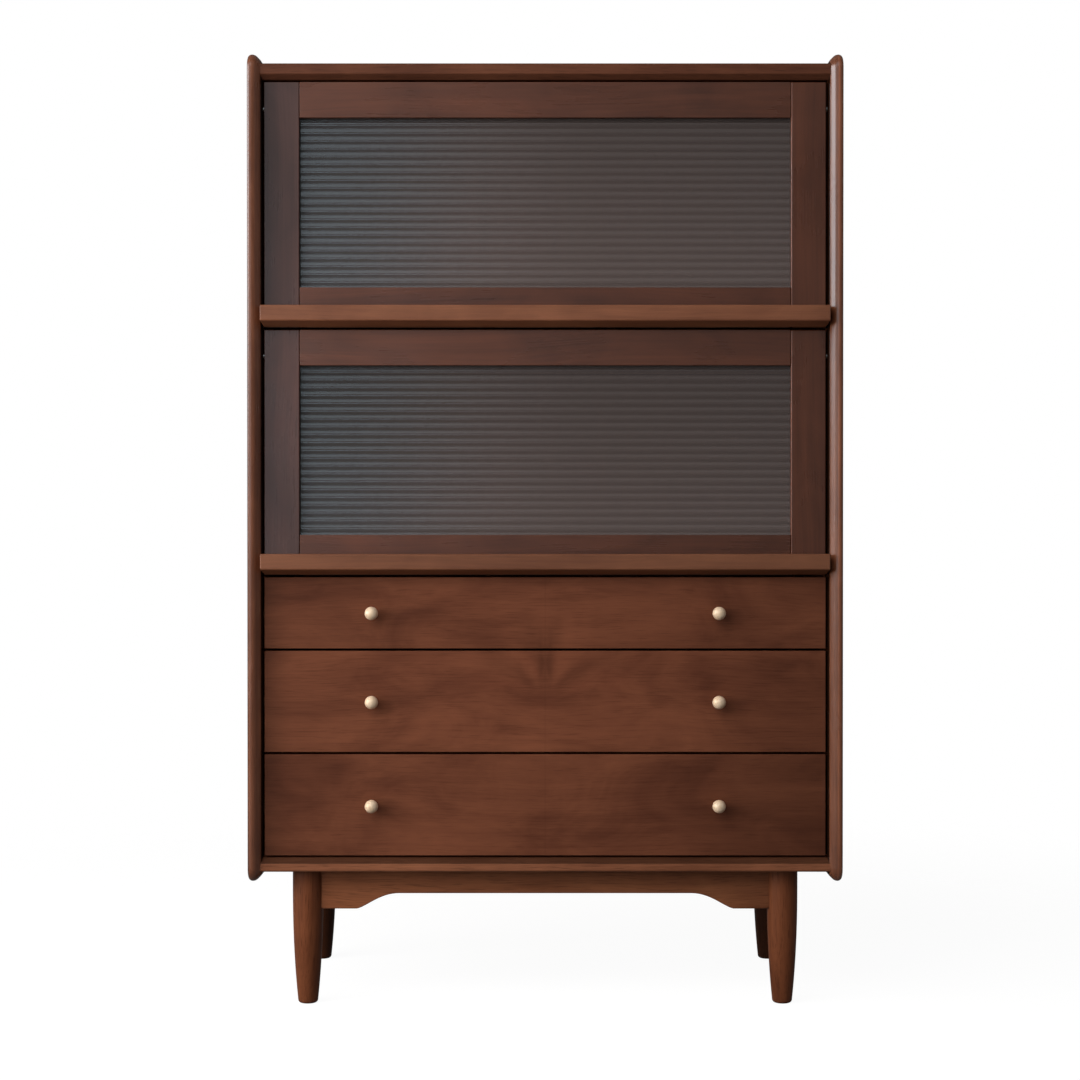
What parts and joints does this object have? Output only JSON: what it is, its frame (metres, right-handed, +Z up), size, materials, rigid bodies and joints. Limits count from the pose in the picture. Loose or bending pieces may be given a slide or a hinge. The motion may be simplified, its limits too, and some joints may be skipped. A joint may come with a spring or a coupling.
{
  "type": "chest of drawers",
  "caption": "Tall wooden chest on turned legs: lift-up doors with fluted glass that run back over their compartments, above full-width drawers with round knobs.",
  "frame": {"origin": "on the floor under the middle of the bounding box", "axes": "+Z up, +X to the right seen from the front, +Y from the front to the back"},
  "size_m": [0.8, 0.412, 1.2849],
  "materials": {
    "walnut": "dark reddish-brown stain under satin lacquer",
    "walnut_frame": "dark brown stain under satin lacquer",
    "walnut_pull": "warm brown stain under satin lacquer",
    "drawer_wood": "pale, unstained, waxed",
    "plywood": "pale plywood, unstained",
    "fluted_glass": "clear glass with horizontal flutes on the front",
    "brass": "champagne brass, satin polish",
    "steel": "bright steel"
  },
  "bodies": {
    "carcass": {"side_panel_left": "walnut", "side_panel_right": "walnut", "top_board": "walnut", "bottom_board": "walnut", "shelf_upper": "walnut", "shelf_lower": "walnut", "back_panel": "plywood", "leg_front_left": "walnut", "leg_front_right": "walnut", "leg_rear_left": "walnut", "leg_rear_right": "walnut", "apron_front": "walnut", "apron_rear": "walnut", "apron_left": "walnut", "apron_right": "walnut", "drawer_top_runner_left": "drawer_wood", "drawer_top_runner_right": "drawer_wood", "drawer_middle_runner_left": "drawer_wood", "drawer_middle_runner_right": "drawer_wood", "drawer_bottom_runner_left": "drawer_wood", "drawer_bottom_runner_right": "drawer_wood"},
    "upper_door_carriage": {"upper_door_pivot_left": "steel", "upper_door_pivot_right": "steel"},
    "upper_door": {"upper_door_stile_left": "walnut_frame", "upper_door_stile_right": "walnut_frame", "upper_door_rail_top": "walnut_frame", "upper_door_rail_bottom": "walnut_frame", "upper_door_pull": "walnut_pull", "upper_door_glass": "fluted_glass", "upper_door_glazing_bead": "walnut_frame"},
    "lower_door_carriage": {"lower_door_pivot_left": "steel", "lower_door_pivot_right": "steel"},
    "lower_door": {"lower_door_stile_left": "walnut_frame", "lower_door_stile_right": "walnut_frame", "lower_door_rail_top": "walnut_frame", "lower_door_rail_bottom": "walnut_frame", "lower_door_pull": "walnut_pull", "lower_door_glass": "fluted_glass", "lower_door_glazing_bead": "walnut_frame"},
    "drawer_top": {"drawer_top_front": "walnut", "drawer_top_side_left": "drawer_wood", "drawer_top_side_right": "drawer_wood", "drawer_top_back": "drawer_wood", "drawer_top_bottom": "plywood", "drawer_top_knob_left": "brass", "drawer_top_knob_right": "brass"},
    "drawer_middle": {"drawer_middle_front": "walnut", "drawer_middle_side_left": "drawer_wood", "drawer_middle_side_right": "drawer_wood", "drawer_middle_back": "drawer_wood", "drawer_middle_bottom": "plywood", "drawer_middle_knob_left": "brass", "drawer_middle_knob_right": "brass"},
    "drawer_bottom": {"drawer_bottom_front": "walnut", "drawer_bottom_side_left": "drawer_wood", "drawer_bottom_side_right": "drawer_wood", "drawer_bottom_back": "drawer_wood", "drawer_bottom_bottom": "plywood", "drawer_bottom_knob_left": "brass", "drawer_bottom_knob_right": "brass"}
  },
  "joints": [
    {"name": "upper_door_run", "type": "slide", "parent": "carcass", "child": "upper_door_carriage", "axis": [0, 1, 0], "range_m": [0, 0.24]},
    {"name": "upper_door_lift", "type": "hinge", "parent": "upper_door_carriage", "child": "upper_door", "pos_m": [0, -0.172, 1.2124], "axis": [-1, 0, 0], "range_deg": [0, 90]},
    {"name": "lower_door_run", "type": "slide", "parent": "carcass", "child": "lower_door_carriage", "axis": [0, 1, 0], "range_m": [0, 0.24]},
    {"name": "lower_door_lift", "type": "hinge", "parent": "lower_door_carriage", "child": "lower_door", "pos_m": [0, -0.172, 0.8796], "axis": [-1, 0, 0], "range_deg": [0, 90]},
    {"name": "drawer_top_slide", "type": "slide", "parent": "carcass", "child": "drawer_top", "axis": [0, -1, 0], "range_m": [0, 0.25]},
    {"name": "drawer_middle_slide", "type": "slide", "parent": "carcass", "child": "drawer_middle", "axis": [0, -1, 0], "range_m": [0, 0.25]},
    {"name": "drawer_bottom_slide", "type": "slide", "parent": "carcass", "child": "drawer_bottom", "axis": [0, -1, 0], "range_m": [0, 0.25]}
  ],
  "couplings": [
    {"joint": "upper_door_run", "follows": "upper_door_lift", "m_per_rad": 0.1527},
    {"joint": "lower_door_run", "follows": "lower_door_lift", "m_per_rad": 0.1527}
  ]
}
